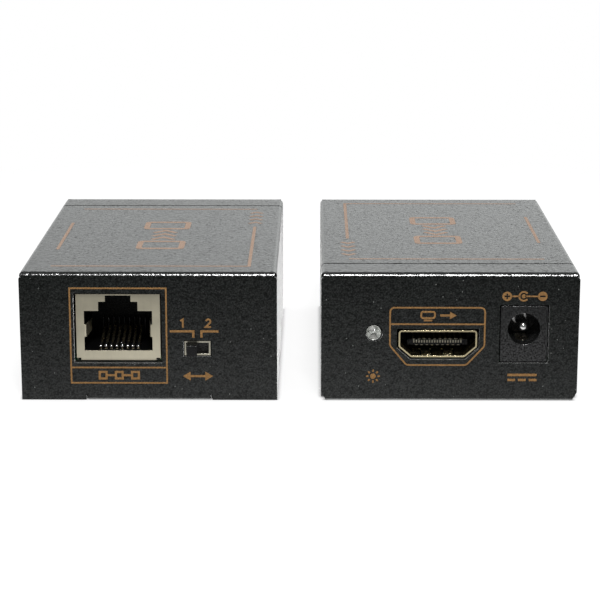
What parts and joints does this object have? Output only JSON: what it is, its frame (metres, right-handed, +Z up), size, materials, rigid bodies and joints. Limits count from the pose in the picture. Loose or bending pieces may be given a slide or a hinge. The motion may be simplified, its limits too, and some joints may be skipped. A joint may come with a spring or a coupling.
{
  "type": "hdmi extender",
  "caption": "Transmitter and receiver boxes that carry a video signal over network cable: folded black steel cases with network, video and power sockets, a lamp and a mode selector.",
  "frame": {"origin": "on the surface under the pair, midway between the two boxes and midway along them", "axes": "+X from the transmitter to the receiver, +Y from the near ends (the transmitter's network end and the receiver's video end) to the far ends, +Z up"},
  "size_m": [0.1064, 0.0789, 0.025],
  "materials": {
    "powder_coat": "fine textured matt",
    "black_steel": "satin",
    "board_green": "solder resist",
    "standoff_steel": "zinc plated",
    "screw_steel": "plated",
    "shield_steel": "satin",
    "black_plastic": "satin",
    "gold_contacts": "gold plated",
    "shell_plate": "satin",
    "bright_pin": "polished",
    "spring_metal": "satin",
    "clear_lens": "clear",
    "tinned_leads": "tinned",
    "chip_black": "matt",
    "capacitor_can": "satin",
    "crystal_can": "satin",
    "selector_steel": "satin",
    "knob_plastic": "satin"
  },
  "bodies": {
    "box_pair": {"tx_top_cover": "powder_coat", "tx_base_tray": "powder_coat", "tx_cover_screws": "black_steel", "tx_circuit_board": "board_green", "tx_standoffs": "standoff_steel", "tx_board_screws": "screw_steel", "tx_network_shield": "shield_steel", "tx_network_body": "black_plastic", "tx_network_contacts": "gold_contacts", "tx_selector_frame": "selector_steel", "tx_selector_base": "black_plastic", "tx_selector_terminals": "tinned_leads", "tx_video_shell": "shell_plate", "tx_video_tongue": "black_plastic", "tx_video_contacts": "gold_contacts", "tx_power_body": "black_plastic", "tx_power_pin": "bright_pin", "tx_power_leaf": "spring_metal", "tx_lamp": "clear_lens", "tx_lamp_leads": "tinned_leads", "tx_main_chip": "chip_black", "tx_small_chips": "chip_black", "tx_capacitors": "capacitor_can", "tx_crystal": "crystal_can", "rx_top_cover": "powder_coat", "rx_base_tray": "powder_coat", "rx_cover_screws": "black_steel", "rx_circuit_board": "board_green", "rx_standoffs": "standoff_steel", "rx_board_screws": "screw_steel", "rx_network_shield": "shield_steel", "rx_network_body": "black_plastic", "rx_network_contacts": "gold_contacts", "rx_video_shell": "shell_plate", "rx_video_tongue": "black_plastic", "rx_video_contacts": "gold_contacts", "rx_power_body": "black_plastic", "rx_power_pin": "bright_pin", "rx_power_leaf": "spring_metal", "rx_lamp": "clear_lens", "rx_lamp_leads": "tinned_leads", "rx_main_chip": "chip_black", "rx_small_chips": "chip_black", "rx_capacitors": "capacitor_can", "rx_crystal": "crystal_can"},
    "selector_knob": {"tx_selector_slider": "knob_plastic"}
  },
  "joints": [
    {"name": "selector_slide", "type": "slide", "parent": "box_pair", "child": "selector_knob", "axis": [1, 0, 0], "range_m": [0, 0.002]}
  ]
}
